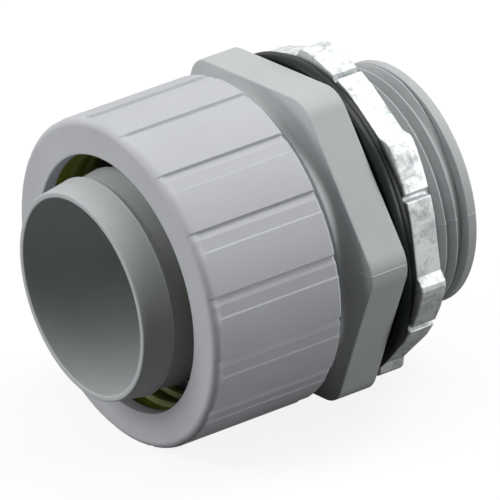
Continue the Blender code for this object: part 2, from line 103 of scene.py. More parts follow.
body_low, body_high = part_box("body")
seal_low, seal_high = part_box("seal_ring")
gasket_low, gasket_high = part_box("hub_gasket")
seat_x = gasket_low.x - CLEARANCE
axis_z = (seal_low.z + seal_high.z) / 2.0
rim = body_low.x - seat_x
hub_length = body_high.x - seat_x
collar_front = -HEX_THICKNESS - COLLAR_LENGTH
seal_floor = collar_front + SEAL_POCKET_DEPTH
socket_floor = collar_front + SOCKET_DEPTH
collar_thread_start = collar_front + COLLAR_CHAMFER
shoulder_start = -HEX_THICKNESS - SHOULDER_LENGTH
collar_thread_end = shoulder_start - SHOULDER_LEAD
hub_thread_end = hub_length - HUB_LEAD
hub_crest_at_seat = HUB_END_RADIUS + hub_length * HUB_TAPER
hub_root_at_seat = hub_crest_at_seat - HUB_THREAD_DEPTH
hub_start_radius = hub_root_at_seat - HUB_THREAD_START * HUB_TAPER
hub_lead_radius = hub_root_at_seat - hub_thread_end * HUB_TAPER


def on_axis(radius, angle, station):
    """Point at a radius, an angle from straight up, and a station from the gasket seat."""
    return Vector((seat_x + station, -radius * math.sin(angle), axis_z + radius * math.cos(angle)))


SHARP = 0.0
FINE = 0.1 * MM
CRISP = 0.15 * MM
MILD = 0.2 * MM
SOFT = 0.3 * MM
EASE_STEPS = 4
EASE_LIMIT = 0.48


def eased(corners, steps=EASE_STEPS):
    """Outline through (x, y, ease) corners, each with an ease rounded in so many steps.

    No ease takes more than its limit of the side beside it, so two never meet.
    """
    outline = []
    for k, (x, y, ease) in enumerate(corners):
        corner = Vector((x, y))
        if ease == SHARP:
            outline.append(corner)
            continue
        back = Vector(corners[k - 1][:2]) - corner
        ahead = Vector(corners[(k + 1) % len(corners)][:2]) - corner
        turn = math.pi - back.angle(ahead)
        room = min(back.length, ahead.length) * EASE_LIMIT
        reach = min(ease * math.tan(turn / 2.0), room)
        start = corner + back.normalized() * reach
        end = corner + ahead.normalized() * reach
        for j in range(steps + 1):
            t = j / steps
            outline.append(start * (1.0 - t) ** 2 + corner * 2.0 * t * (1.0 - t) + end * t * t)
    return outline


def add_node(tree, kind, inputs, **settings):
    """A node with its settings, its inputs linked or set by name or number."""
    node = tree.nodes.new(kind)
    for name, value in settings.items():
        setattr(node, name, value)
    for key, value in inputs.items():
        if isinstance(value, bpy.types.NodeSocket):
            tree.links.new(value, node.inputs[key])
        else:
            node.inputs[key].default_value = value
    return node


def reckon(tree, operation, *values):
    """Result of one Math node."""
    return add_node(tree, "ShaderNodeMath", dict(enumerate(values)), operation=operation).outputs[0]


def new_shape_tree(name, inputs):
    """A Geometry Nodes tree of named inputs and one output, with its two end nodes' sockets."""
    tree = bpy.data.node_groups.new(name, "GeometryNodeTree")
    for label, kind in inputs:
        tree.interface.new_socket(label, in_out="INPUT", socket_type="NodeSocket" + kind)
    tree.interface.new_socket("Skin", in_out="OUTPUT", socket_type="NodeSocketGeometry")
    return tree, tree.nodes.new("NodeGroupInput").outputs, tree.nodes.new("NodeGroupOutput").inputs


def round_the_axis_tree():
    """Repeats one sector round the connector's axis and welds the copies to one skin."""
    tree, given, result = new_shape_tree("Sector round the axis", (
        ("Sector", "Geometry"), ("Count", "Int"), ("Axis Height", "Float"), ("Weld", "Float"),
        ("Finish", "Material")))
    height = given["Axis Height"]
    down = add_node(tree, "ShaderNodeCombineXYZ", {"Z": reckon(tree, "MULTIPLY", height, -1.0)})
    lowered = add_node(tree, "GeometryNodeTransform",
                       {"Geometry": given["Sector"], "Translation": down.outputs[0]})
    places = add_node(tree, "GeometryNodePoints", {"Count": given["Count"]})
    index = tree.nodes.new("GeometryNodeInputIndex").outputs[0]
    pitch = reckon(tree, "DIVIDE", math.tau, given["Count"])
    turn = add_node(tree, "ShaderNodeCombineXYZ", {"X": reckon(tree, "MULTIPLY", index, pitch)})
    turning = add_node(tree, "FunctionNodeEulerToRotation", {"Euler": turn.outputs[0]})
    copies = add_node(tree, "GeometryNodeInstanceOnPoints",
                      {"Points": places.outputs[0], "Instance": lowered.outputs[0],
                       "Rotation": turning.outputs[0]})
    real = add_node(tree, "GeometryNodeRealizeInstances", {0: copies.outputs[0]})
    up = add_node(tree, "ShaderNodeCombineXYZ", {"Z": height})
    raised = add_node(tree, "GeometryNodeTransform",
                      {"Geometry": real.outputs[0], "Translation": up.outputs[0]})
    welded = add_node(tree, "GeometryNodeMergeByDistance",
                      {"Geometry": raised.outputs[0], "Distance": given["Weld"]})
    coated = add_node(tree, "GeometryNodeSetMaterial",
                      {"Geometry": welded.outputs[0], "Material": given["Finish"]})
    tree.links.new(coated.outputs[0], result[0])
    return tree


round_the_axis = round_the_axis_tree()


def set_inputs(modifier, **values):
    """Sets a Geometry Nodes modifier's inputs, found by name and set by identifier."""
    for item in modifier.node_group.interface.items_tree:
        key = item.name.replace(" ", "_").lower()
        if item.in_out == "INPUT" and key in values:
            modifier[item.identifier] = values[key]


def baked(source):
    """Mesh of an object with its modifiers applied; the object is removed."""
    graph = bpy.context.evaluated_depsgraph_get()
    mesh = bpy.data.meshes.new_from_object(source.evaluated_get(graph))
    raw = source.data
    bpy.data.objects.remove(source, do_unlink=True)
    bpy.data.meshes.remove(raw)
    return mesh


WELD = 0.002 * MM


def skin_of(rings, count, finish, closed=True):
    """Mesh of rings that each cover one sector, repeated count times round the axis.

    A ring is a list of (radius, angle, station) points. A closed skin joins the last ring
    to the first.
    """
    shape = bmesh.new()
    rows = [[shape.verts.new(on_axis(*point)) for point in ring] for ring in rings]
    following = rows[1:] + rows[:1] if closed else rows[1:]
    for row, after in zip(rows, following):
        for k in range(len(row) - 1):
            shape.faces.new((row[k], after[k], after[k + 1], row[k + 1]))
    sector = bpy.data.meshes.new("sector")
    shape.to_mesh(sector)
    shape.free()
    source = bpy.data.objects.new("sector", sector)
    bpy.context.scene.collection.objects.link(source)
    modifier = source.modifiers.new("round", "NODES")
    modifier.node_group = round_the_axis
    set_inputs(modifier, count=count, axis_height=axis_z, weld=WELD, finish=finish)
    return baked(source)


AROUND = 192


def turned_skin(outline, finish, closed=True):
    """Mesh of a (radius, station) outline turned about the axis."""
    step = math.tau / AROUND
    rings = [[(radius, 0.0, station), (radius, step, station)] for radius, station in outline]
    return skin_of(rings, AROUND, finish, closed)


# One tooth of a thread, as (share of the pitch, share of the depth) from crest to crest.
TOOTH = ((0.0, 1.0), (0.05, 1.0), (0.45, 0.05), (0.5, 0.0), (0.55, 0.05), (0.95, 1.0), (1.0, 1.0))
THREAD_STEPS = 20
THREAD_FADE = 0.12
TURNS_BEFORE_CREST = 2.0


def thread_tree():
    """A helical skin: one row of faces per step along the thread, its ends drawn to level rings."""
    numbers = ("Rows", "Pitch", "Depth", "Root", "Taper", "First Crest", "Start", "End",
               "Crest Turns", "Fade", "Seat", "Axis Height", "Weld")
    tree, given, result = new_shape_tree("Helical thread", (
        ("Blank", "Geometry"), ("Around", "Int"), ("Steps", "Int"),
        *((number, "Float") for number in numbers), ("Finish", "Material")))

    def sum_of(a, b):
        return reckon(tree, "ADD", a, b)

    def product(a, b):
        return reckon(tree, "MULTIPLY", a, b)

    def less(a, b):
        return reckon(tree, "SUBTRACT", a, b)

    def held(value, low, high):
        return reckon(tree, "MINIMUM", reckon(tree, "MAXIMUM", value, low), high)

    def faded(turns):
        return held(reckon(tree, "DIVIDE", turns, given["Fade"]), 0.0, 1.0)

    grid = add_node(tree, "GeometryNodeMeshGrid",
                    {"Size X": 1.0, "Size Y": given["Rows"],
                     "Vertices X": sum_of(given["Around"], 1.0),
                     "Vertices Y": sum_of(product(given["Rows"], given["Steps"]), 1.0)})
    flat = add_node(tree, "ShaderNodeSeparateXYZ",
                    {0: tree.nodes.new("GeometryNodeInputPosition").outputs[0]}).outputs
    share = sum_of(flat["X"], 0.5)
    turns = less(sum_of(flat["Y"], product(given["Rows"], 0.5)), TURNS_BEFORE_CREST)
    free = sum_of(given["First Crest"], product(given["Pitch"], sum_of(turns, share)))
    station = held(free, given["Start"], given["End"])
    tooth = tree.nodes.new("ShaderNodeFloatCurve")
    profile = tooth.mapping.curves[0].points
    profile[0].location = TOOTH[0]
    profile[-1].location = TOOTH[-1]
    for place, height in TOOTH[1:-1]:
        profile.new(place, height)
    for point in profile:
        point.handle_type = "VECTOR"
    tooth.mapping.update()
    tree.links.new(reckon(tree, "FRACT", sum_of(turns, TURNS_BEFORE_CREST)), tooth.inputs["Value"])
    crest = sum_of(reckon(tree, "ROUND", turns), share)
    fade = product(faded(crest), faded(less(given["Crest Turns"], crest)))
    height = product(product(tooth.outputs[0], given["Depth"]), fade)
    radius = sum_of(less(given["Root"], product(station, given["Taper"])), height)
    angle = product(share, math.tau)
    across = product(product(radius, reckon(tree, "SINE", angle)), -1.0)
    upward = sum_of(given["Axis Height"], product(radius, reckon(tree, "COSINE", angle)))
    place = add_node(tree, "ShaderNodeCombineXYZ",
                     {"X": sum_of(given["Seat"], station), "Y": across, "Z": upward})
    wound = add_node(tree, "GeometryNodeSetPosition",
                     {"Geometry": grid.outputs[0], "Position": place.outputs[0]})
    welded = add_node(tree, "GeometryNodeMergeByDistance",
                      {"Geometry": wound.outputs[0], "Distance": given["Weld"]})
    real = add_node(tree, "GeometryNodeRealizeInstances", {0: welded.outputs[0]})
    coated = add_node(tree, "GeometryNodeSetMaterial",
                      {"Geometry": real.outputs[0], "Material": given["Finish"]})
    tree.links.new(coated.outputs[0], result[0])
    return tree


helical_thread = thread_tree()


def thread_skin(finish, end, pitch, first_crest, **form):
    """Mesh between two stations with a crest that winds so many turns and fades at both ends."""
    source = bpy.data.objects.new("thread", bpy.data.meshes.new("thread"))
    bpy.context.scene.collection.objects.link(source)
    modifier = source.modifiers.new("thread", "NODES")
    modifier.node_group = helical_thread
    rows = math.ceil((end - first_crest) / pitch) + TURNS_BEFORE_CREST
    set_inputs(modifier, around=AROUND, steps=THREAD_STEPS, rows=rows, end=end, pitch=pitch,
               first_crest=first_crest, fade=THREAD_FADE, seat=seat_x, axis_height=axis_z,
               weld=WELD, finish=finish, **form)
    return baked(source)


CLOUD_LOW = 0.3
CLOUD_HIGH = 0.7


def cloudy(name, clouds, specks, cloud_share, tones, gloss, relief):
    """A material whose tone, gloss and fine relief follow large clouds and small specks.

    Each noise is (scale, detail, roughness, distortion), the tones are (level, colour) stops,
    gloss is the roughness on thin and on dense clouds, and relief is (strength, depth, what it
    follows), the last being "specks" or "blend".
    """
    material = bpy.data.materials.new(name)
    material.use_nodes = True
    tree = material.node_tree
    shader = tree.nodes["Principled BSDF"]
    place = tree.nodes.new("ShaderNodeTexCoord").outputs["Object"]
    noises = []
    for scale, detail, roughness, distortion in (clouds, specks):
        noise = add_node(tree, "ShaderNodeTexNoise",
                         {"Vector": place, "Scale": scale, "Detail": detail,
                          "Roughness": roughness, "Distortion": distortion})
        noises.append(noise.outputs["Fac"])
    cloud, speck = noises
    blend = reckon(tree, "MULTIPLY_ADD", cloud, cloud_share,
                   reckon(tree, "MULTIPLY", speck, 1.0 - cloud_share))
    shade = add_node(tree, "ShaderNodeValToRGB", {"Fac": blend})
    for stop, (level, colour) in zip(shade.color_ramp.elements, tones):
        stop.position = level
        stop.color = (*colour, 1.0)
    tree.links.new(shade.outputs["Color"], shader.inputs["Base Color"])
    uneven = add_node(tree, "ShaderNodeMapRange",
                      {"Value": cloud, "From Min": CLOUD_LOW, "From Max": CLOUD_HIGH,
                       "To Min": gloss[0], "To Max": gloss[1]})
    tree.links.new(uneven.outputs[0], shader.inputs["Roughness"])
    strength, depth, follows = relief
    heights = {"specks": speck, "blend": blend}
    bump = add_node(tree, "ShaderNodeBump",
                    {"Strength": strength, "Distance": depth, "Height": heights[follows]})
    tree.links.new(bump.outputs["Normal"], shader.inputs["Normal"])
    return material


GLOSS_SWING = 0.05
GRAIN_DEPTH = 0.02 * MM


def moulded(name, tint, mottle, roughness, grain, shine):
    """Moulded plastic or rubber: a tint with faint flow clouds, fine grain and uneven gloss."""
    material = cloudy(
        name, clouds=(90.0, 4.0, 0.6, 0.0), specks=(2600.0, 2.0, 0.7, 0.0), cloud_share=0.7,
        tones=((0.35, [part * (1.0 - mottle) for part in tint]),
               (0.65, [part * (1.0 + mottle) for part in tint])),
        gloss=(roughness - GLOSS_SWING, roughness + GLOSS_SWING),
        relief=(grain, GRAIN_DEPTH, "specks"))
    shader = material.node_tree.nodes["Principled BSDF"]
    shader.inputs["Specular IOR Level"].default_value = shine
    return material


SHARP_ANGLE = math.radians(25.0)


def finished(name, meshes, material, body, node):
    """One object of the meshes welded together, shaded smooth, riding a body for a node."""
    shape = bmesh.new()
    for mesh in meshes:
        shape.from_mesh(mesh)
        bpy.data.meshes.remove(mesh)
    bmesh.ops.remove_doubles(shape, verts=shape.verts, dist=WELD)
    bmesh.ops.dissolve_degenerate(shape, edges=shape.edges, dist=WELD / 10.0)
    bmesh.ops.recalc_face_normals(shape, faces=shape.faces)
    mesh = bpy.data.meshes.new(name)
    shape.to_mesh(mesh)
    shape.free()
    mesh.shade_smooth()
    mesh.set_sharp_from_angle(angle=SHARP_ANGLE)
    mesh.materials.clear()
    mesh.materials.append(material)
    draft = bpy.data.objects.new(name + "_draft", mesh)
    bpy.context.scene.collection.objects.link(draft)
    weights = draft.modifiers.new("even shading", "WEIGHTED_NORMAL")
    weights.keep_sharp = True
    piece = bpy.data.objects.new(name, baked(draft))
    piece.data.name = name
    bpy.context.scene.collection.objects.link(piece)
    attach(piece, body)
    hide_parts(node)


body_plastic = moulded("body_plastic", (0.47, 0.49, 0.495), mottle=0.03, roughness=0.48,
                       grain=0.25, shine=0.16)

front_outline = [
    (hub_lead_radius, hub_thread_end, SHARP),
    (HUB_END_RADIUS, hub_thread_end + HUB_LEAD_RISE, CRISP),
    (HUB_END_RADIUS, hub_length - HUB_END_CHAMFER, SOFT),
    (HUB_END_RADIUS - HUB_END_CHAMFER, hub_length, SOFT),
    (HUB_BORE_RADIUS, hub_length, HUB_MOUTH_ROUND),
    (HUB_BORE_RADIUS, HUB_BORE_TAPER - HEX_THICKNESS, HUB_BORE_BLEND),
    (THROAT_RADIUS, -HEX_THICKNESS, HUB_BORE_BLEND),
    (THROAT_RADIUS, rim, SOFT),
    (RIM_RADIUS, rim, RIM_ROUND),
]
for barb in range(1, BARB_COUNT + 1):
    crest = rim + barb * BARB_PITCH
    front_outline += [
        (BARB_RADIUS - BARB_LAND_DROP, crest - BARB_LAND, MILD),
        (BARB_RADIUS, crest, BARB_TIP_ROUND),
        (BARB_ROOT_RADIUS, crest + BARB_BACK, CRISP),
    ]
front_outline += [
    (BARB_ROOT_RADIUS, socket_floor, BARB_ROOT_ROUND),
    (SOCKET_RADIUS, socket_floor, SOFT),
    (SOCKET_RADIUS, seal_floor, FINE),
    (SEAL_POCKET_RADIUS, seal_floor, FINE),
    (SEAL_POCKET_RADIUS, collar_front, CRISP),
    (COLLAR_ROOT_RADIUS - COLLAR_CHAMFER, collar_front, CRISP),
    (COLLAR_ROOT_RADIUS, collar_thread_start, SHARP),
]
fillet = []
for k in range(1, FILLET_STEPS + 1):
    swing = math.pi / 2.0 * k / FILLET_STEPS
    fillet.append((SHOULDER_RADIUS + SHOULDER_FILLET * (1.0 - math.cos(swing)),
                   -HEX_THICKNESS - SHOULDER_FILLET * (1.0 - math.sin(swing)), SHARP))
rear_outline = [
    (COLLAR_ROOT_RADIUS, collar_thread_end, SHARP),
    (SHOULDER_RADIUS, shoulder_start, MILD),
    (SHOULDER_RADIUS, -HEX_THICKNESS - SHOULDER_FILLET, SHARP),
    *fillet,
    (SHOULDER_RADIUS + SHOULDER_FILLET, -HEX_THICKNESS + SHOULDER_REACH, SHARP),
    (BURIED_RADIUS, -HEX_THICKNESS + SHOULDER_REACH, SHARP),
    (BURIED_RADIUS, -HUB_REACH, SHARP),
    (hub_start_radius, -HUB_REACH, SHARP),
    (hub_start_radius, HUB_THREAD_START, SHARP),
]
hub_thread = thread_skin(
    body_plastic, start=HUB_THREAD_START, end=hub_thread_end, pitch=HUB_THREAD_PITCH,
    depth=HUB_THREAD_DEPTH, root=hub_root_at_seat, taper=HUB_TAPER,
    first_crest=HUB_FIRST_CREST, crest_turns=HUB_CREST_TURNS)
collar_thread = thread_skin(
    body_plastic, start=collar_thread_start, end=collar_thread_end, pitch=COLLAR_THREAD_PITCH,
    depth=COLLAR_THREAD_DEPTH, root=COLLAR_ROOT_RADIUS, taper=0.0,
    first_crest=collar_front + COLLAR_FIRST_CREST, crest_turns=COLLAR_CREST_TURNS)
finished("body_moulding",
         [turned_skin(eased(front_outline), body_plastic, closed=False),
          turned_skin(eased(rear_outline), body_plastic, closed=False),
          hub_thread, collar_thread],
         body_plastic, "body", "body")

# Hexagon: the wrench flats of the same moulding, with generously rounded corners, crisp rims and
# the fine witness line that the mould's two halves leave across two opposite corners.
HEX_SIDES = 6
HALF_SIDE = math.pi / HEX_SIDES
HEX_INNER_RADIUS = 26.37 * MM
HEX_CORNER_RADIUS = 5.4 * MM
HEX_TURN = math.radians(23.5)
HEX_EDGE = 0.35 * MM
HEX_EDGE_MIDDLE = 0.3
HEX_FACE_REACH = 2.0 * MM
HEX_EYE_OVERLAP = 1.0 * MM
CORNER_STEPS = 12
PARTING_WIDTH = 0.4 * MM
PARTING_HEIGHT = 0.09 * MM
PARTING_SINK = 0.05 * MM
PARTING_END_GAP = 0.5 * MM
PARTING_STEPS = 120
locknut_low, locknut_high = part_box("locknut")


def hexagon_ring(inset, station):
    """One sixth of the hexagon, from flat middle to flat middle, drawn in by inset."""
    flat = HEX_INNER_RADIUS - inset
    bend = HEX_CORNER_RADIUS - inset
    corner = (flat - bend) / math.cos(HALF_SIDE)
    ring = [(flat, HEX_TURN - HALF_SIDE, station)]
    for k in range(CORNER_STEPS + 1):
        swing = HALF_SIDE * (2.0 * k / CORNER_STEPS - 1.0)
        across = bend * math.sin(swing)
        outward = corner + bend * math.cos(swing)
        ring.append((math.hypot(across, outward), math.atan2(across, outward) + HEX_TURN, station))
    ring.append((flat, HEX_TURN + HALF_SIDE, station))
    return ring


hexagon_edge = eased([(HEX_FACE_REACH, -HEX_THICKNESS, SHARP), (0.0, -HEX_THICKNESS, HEX_EDGE),
                      (0.0, 0.0, HEX_EDGE), (HEX_FACE_REACH, 0.0, SHARP)])
hexagon_rings = [hexagon_ring(inset, station) for inset, station in hexagon_edge]
hexagon_angles = [angle for radius, angle, station in hexagon_rings[0]]
for station in (0.0, -HEX_THICKNESS):
    hexagon_rings.append([(BURIED_RADIUS - HEX_EYE_OVERLAP, angle, station)
                          for angle in hexagon_angles])


def hub_surface(station, angle):
    """Radius of the threaded hub at a station and an angle."""
    if station > hub_thread_end:
        rise = min((station - hub_thread_end) / HUB_LEAD_RISE, 1.0)
        return hub_lead_radius + (HUB_END_RADIUS - hub_lead_radius) * rise
    share = angle / math.tau % 1.0
    turn = (station - HUB_FIRST_CREST) / HUB_THREAD_PITCH - share
    crest = round(turn) + share
    place = turn % 1.0
    height = 0.0
    for (left, low), (right, high) in zip(TOOTH, TOOTH[1:]):
        if left <= place <= right:
            height = low + (high - low) * (place - left) / (right - left)
    fade = max(min(crest, HUB_CREST_TURNS - crest, THREAD_FADE), 0.0) / THREAD_FADE
    return hub_root_at_seat - station * HUB_TAPER + height * HUB_THREAD_DEPTH * fade


def parting_line(path, angle):
    """Mesh of a fine raised line along a (radius, station) path at one angle round the axis."""
    shape = bmesh.new()
    rows = []
    for k, (radius, station) in enumerate(path):
        ahead = Vector(path[min(k + 1, len(path) - 1)]) - Vector(path[max(k - 1, 0)])
        outward = Vector((ahead.y, -ahead.x)).normalized()
        foot = Vector((radius, station)) - outward * PARTING_SINK
        crown = Vector((radius, station)) + outward * PARTING_HEIGHT
        spread = PARTING_WIDTH / 2.0 / radius
        rows.append([shape.verts.new(on_axis(foot.x, angle - spread, foot.y)),
                     shape.verts.new(on_axis(crown.x, angle, crown.y)),
                     shape.verts.new(on_axis(foot.x, angle + spread, foot.y))])
    for row, after in zip(rows, rows[1:]):
        for k in range(3):
            shape.faces.new((row[k], after[k], after[(k + 1) % 3], row[(k + 1) % 3]))
    shape.faces.new(rows[0])
    shape.faces.new(rows[-1])
    mesh = bpy.data.meshes.new("parting_line")
    shape.to_mesh(mesh)
    shape.free()
    return mesh


hex_corner_radius = (HEX_INNER_RADIUS - HEX_CORNER_RADIUS) / math.cos(HALF_SIDE) + HEX_CORNER_RADIUS
hexagon_path = [
    (SHOULDER_RADIUS + SHOULDER_FILLET, -HEX_THICKNESS),
    (hex_corner_radius - HEX_EDGE, -HEX_THICKNESS),
    (hex_corner_radius - HEX_EDGE_MIDDLE * HEX_EDGE, HEX_EDGE_MIDDLE * HEX_EDGE - HEX_THICKNESS),
    (hex_corner_radius, HEX_EDGE - HEX_THICKNESS),
    (hex_corner_radius, -HEX_EDGE),
    (hex_corner_radius - HEX_EDGE, 0.0),
]
line_start = locknut_high.x - seat_x
line_length = hub_length - PARTING_END_GAP - line_start
line_stations = [line_start + line_length * k / PARTING_STEPS for k in range(PARTING_STEPS + 1)]
parting_lines = []
for opposite in (0.0, math.pi):
    angle = HEX_TURN + 2.0 * HALF_SIDE + opposite
    hub_path = [(hub_surface(station, angle), station) for station in line_stations]
    parting_lines += [parting_line(hexagon_path, angle), parting_line(hub_path, angle)]
finished("hexagon", [skin_of(hexagon_rings, HEX_SIDES, body_plastic), *parting_lines],
         body_plastic, "body", "body")

# Hub gasket: black rubber ring against the hexagon, a round bead at its rim and a flat flange
# behind it, stretched over the hub and held by the locknut.
GASKET_BEAD_WIDTH = 1.8 * MM
GASKET_BEAD_ROUND = 0.9 * MM
GASKET_GROOVE_DEPTH = 1.15 * MM
GASKET_GROOVE_WIDTH = 0.25 * MM
GASKET_FLANGE_DROP = 0.6 * MM
GASKET_FLANGE_ROUND = 0.25 * MM
rubber = moulded("gasket_rubber", (0.0035, 0.007, 0.006), mottle=0.2, roughness=0.34,
                 grain=0.2, shine=0.2)
gasket_radius = (gasket_high.z - gasket_low.z) / 2.0
gasket_bore = hub_crest_at_seat + CLEARANCE
gasket_front = gasket_low.x - seat_x
gasket_rear = gasket_high.x - seat_x
bead_end = gasket_front + GASKET_BEAD_WIDTH
gasket_outline = [
    (gasket_bore, gasket_front, CRISP),
    (gasket_radius, gasket_front, GASKET_BEAD_ROUND),
    (gasket_radius, bead_end, GASKET_BEAD_ROUND),
    (gasket_radius - GASKET_GROOVE_DEPTH, bead_end, MILD),
    (gasket_radius - GASKET_FLANGE_DROP, bead_end + GASKET_GROOVE_WIDTH, CRISP),
    (gasket_radius - GASKET_FLANGE_DROP, gasket_rear, GASKET_FLANGE_ROUND),
    (gasket_bore, gasket_rear, CRISP),
]
finished("hub_gasket_ring", [turned_skin(eased(gasket_outline), rubber)],
         rubber, "hub_gasket", "hub_gasket")

# Seal ring: black rubber ring of plain section that sits in the collar's mouth and is pressed
# on the conduit as the compression nut is tightened.
seal_radius = (seal_high.z - seal_low.z) / 2.0
seal_outline = [
    (SOCKET_RADIUS, seal_low.x - seat_x, SOFT),
    (seal_radius, seal_low.x - seat_x, SOFT),
    (seal_radius, seal_high.x - seat_x, CRISP),
    (SOCKET_RADIUS, seal_high.x - seat_x, CRISP),
]
finished("seal_ring_rubber", [turned_skin(eased(seal_outline), rubber)],
         rubber, "body", "seal_ring")

# Grip ring: olive plastic sleeve in the nut, coned outside, with blunt ribs inside that bite on
# the conduit's jacket as the nut is tightened.
GRIP_WALL = 0.45 * MM
GRIP_CONE_SLOPE = 0.2
GRIP_RIB_HEIGHT = 0.8 * MM
GRIP_RIB_LENGTH = 1.9 * MM
GRIP_RIB_FLANK = 0.5 * MM
GRIP_RIB_STARTS = (5.5 * MM, 2.1 * MM)
olive_plastic = moulded("grip_plastic", (0.18, 0.2, 0.025), mottle=0.1, roughness=0.38,
                        grain=0.2, shine=0.3)
grip_low, grip_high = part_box("grip_ring")
grip_front = grip_low.x - seat_x
grip_length = grip_high.x - grip_low.x
grip_rear = grip_front + grip_length
grip_groove = SOCKET_RADIUS + GRIP_RIB_HEIGHT
grip_radius = grip_groove + GRIP_WALL
grip_outline = [
    (grip_groove, grip_front, FINE),
    (grip_radius, grip_front, CRISP),
    (grip_radius + grip_length * GRIP_CONE_SLOPE, grip_rear, CRISP),
    (grip_groove, grip_rear, FINE),
]
for rib_start in GRIP_RIB_STARTS:
    rib_front = grip_front + rib_start
    rib_rear = rib_front + GRIP_RIB_LENGTH
    grip_outline += [
        (grip_groove, rib_rear, FINE),
        (SOCKET_RADIUS, rib_rear - GRIP_RIB_FLANK, MILD),
        (SOCKET_RADIUS, rib_front + GRIP_RIB_FLANK, MILD),
        (grip_groove, rib_front, FINE),
    ]
finished("grip_ring_sleeve", [turned_skin(eased(grip_outline), olive_plastic)],
         olive_plastic, "grip_ring", "grip_ring")

# Compression nut: grey plastic cap with ratchet ribs for the hand, a rounded front and a mouth
# for the conduit. Each rib is a narrow strip, a small step up to a wide facet, and a groove.
NUT_RIBS = 16
NUT_TURN = math.radians(6.17)
NUT_STRIP_SHARE = 0.33
NUT_RIDGE_SHARE = 0.026
NUT_RIDGE_RISE = 0.15 * MM
NUT_STEP_SHARE = 0.02
NUT_GROOVE_SHARE = 0.12
NUT_GROOVE_DEPTH = 0.55 * MM
NUT_GROOVE_ROUND = 0.5 * MM
NUT_ARC_STEPS = 7
NUT_RIB_EASE_STEPS = 3
NUT_RIB_START = 0.55
NUT_RIB_FADE = 0.9 * MM
NUT_FRONT_ROUND = 1.3 * MM
NUT_REAR_ROUND = 0.6 * MM
NUT_BORE_RADIUS = 25.2 * MM
NUT_BORE_CHAMFER = 0.5 * MM
NUT_BORE_FROM = 0.45
NUT_CONE_DEPTH = 10.6 * MM
NUT_CONE_REAR_RADIUS = 24.6 * MM
NUT_CONE_FRONT_RADIUS = 22.98 * MM
NUT_LIP = 2.3 * MM
NUT_MOUTH_RADIUS = 21.7 * MM
NUT_MOUTH_ROUND = 0.4 * MM
ROUND_STEPS = 8
FADE_STEPS = 6
nut_plastic = moulded("nut_plastic", (0.49, 0.50, 0.525), mottle=0.03, roughness=0.52,
                      grain=0.25, shine=0.16)
nut_low, nut_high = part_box("compression_nut")
nut_front = nut_low.x - seat_x
nut_length = nut_high.x - nut_low.x
crown_radius = nut_high.z / 2.0
strip_radius = crown_radius - NUT_RIDGE_RISE
half_strip = NUT_STRIP_SHARE / 2.0
facet_share = 1.0 - NUT_STEP_SHARE - NUT_STRIP_SHARE


def spot(radius, share, ease):
    """Corner of the nut's outline at a share of the way round one rib."""
    angle = share * math.tau / NUT_RIBS
    return (radius * math.cos(angle), radius * math.sin(angle), ease)


rib_outline = eased([
    spot(strip_radius, half_strip, SHARP),
    spot(strip_radius, NUT_STRIP_SHARE - NUT_RIDGE_SHARE, SHARP),
    *(spot(crown_radius, NUT_STRIP_SHARE + facet_share * k / NUT_ARC_STEPS, SHARP)
      for k in range(NUT_ARC_STEPS)),
    spot(crown_radius, 1.0 - NUT_STEP_SHARE, FINE),
    spot(crown_radius - NUT_GROOVE_DEPTH, 1.0, CRISP),
    spot(strip_radius, 1.0 + NUT_GROOVE_SHARE, NUT_GROOVE_ROUND),
    spot(strip_radius, 1.0 + half_strip, SHARP),
], NUT_RIB_EASE_STEPS)
rib_angles = [math.atan2(point.y, point.x) + NUT_TURN for point in rib_outline]


def round_ring(radius, depth):
    """A plain circle on the nut's own angles."""
    return [(radius, angle, nut_front + depth) for angle in rib_angles]


def ribbed_ring(rib_share, inset, depth):
    """The ribbed outline at a depth behind the nut's front, its ribs faded by rib_share."""
    ring = []
    for point, angle in zip(rib_outline, rib_angles):
        radius = crown_radius + (point.length - crown_radius) * rib_share - inset
        ring.append((radius, angle, nut_front + depth))
    return ring


nut_bore = eased([
    (NUT_BORE_RADIUS, nut_length - NUT_BORE_CHAMFER, SHARP),
    (NUT_BORE_RADIUS, NUT_BORE_FROM * nut_length, SOFT),
    (NUT_CONE_REAR_RADIUS, NUT_CONE_DEPTH, SOFT),
    (NUT_CONE_FRONT_RADIUS, NUT_LIP, CRISP),
    (NUT_MOUTH_RADIUS, NUT_LIP, MILD),
    (NUT_MOUTH_RADIUS, 0.0, NUT_MOUTH_ROUND),
    (crown_radius - NUT_FRONT_ROUND, 0.0, SHARP),
])
nut_rings = [round_ring(radius, depth) for radius, depth in nut_bore]
for k in range(1, ROUND_STEPS + 1):
    swing = math.pi / 2.0 * k / ROUND_STEPS
    depth = NUT_FRONT_ROUND * (1.0 - math.cos(swing))
    nut_rings.append(ribbed_ring(NUT_RIB_START * depth / NUT_FRONT_ROUND,
                                 NUT_FRONT_ROUND * (1.0 - math.sin(swing)), depth))
for k in range(1, FADE_STEPS + 1):
    along = k / FADE_STEPS
    rib_share = NUT_RIB_START + (1.0 - NUT_RIB_START) * math.sin(math.pi / 2.0 * along)
    nut_rings.append(ribbed_ring(rib_share, 0.0, NUT_FRONT_ROUND + NUT_RIB_FADE * along))
for k in range(ROUND_STEPS, -1, -1):
    swing = math.pi / 2.0 * k / ROUND_STEPS
    nut_rings.append(ribbed_ring(1.0, NUT_REAR_ROUND * (1.0 - math.sin(swing)),
                                 nut_length - NUT_REAR_ROUND * (1.0 - math.cos(swing))))
nut_rings.append(round_ring(NUT_BORE_RADIUS + NUT_BORE_CHAMFER, nut_length))
finished("compression_nut_shell", [skin_of(nut_rings, NUT_RIBS, nut_plastic)],
         nut_plastic, "compression_nut", "compression_nut")

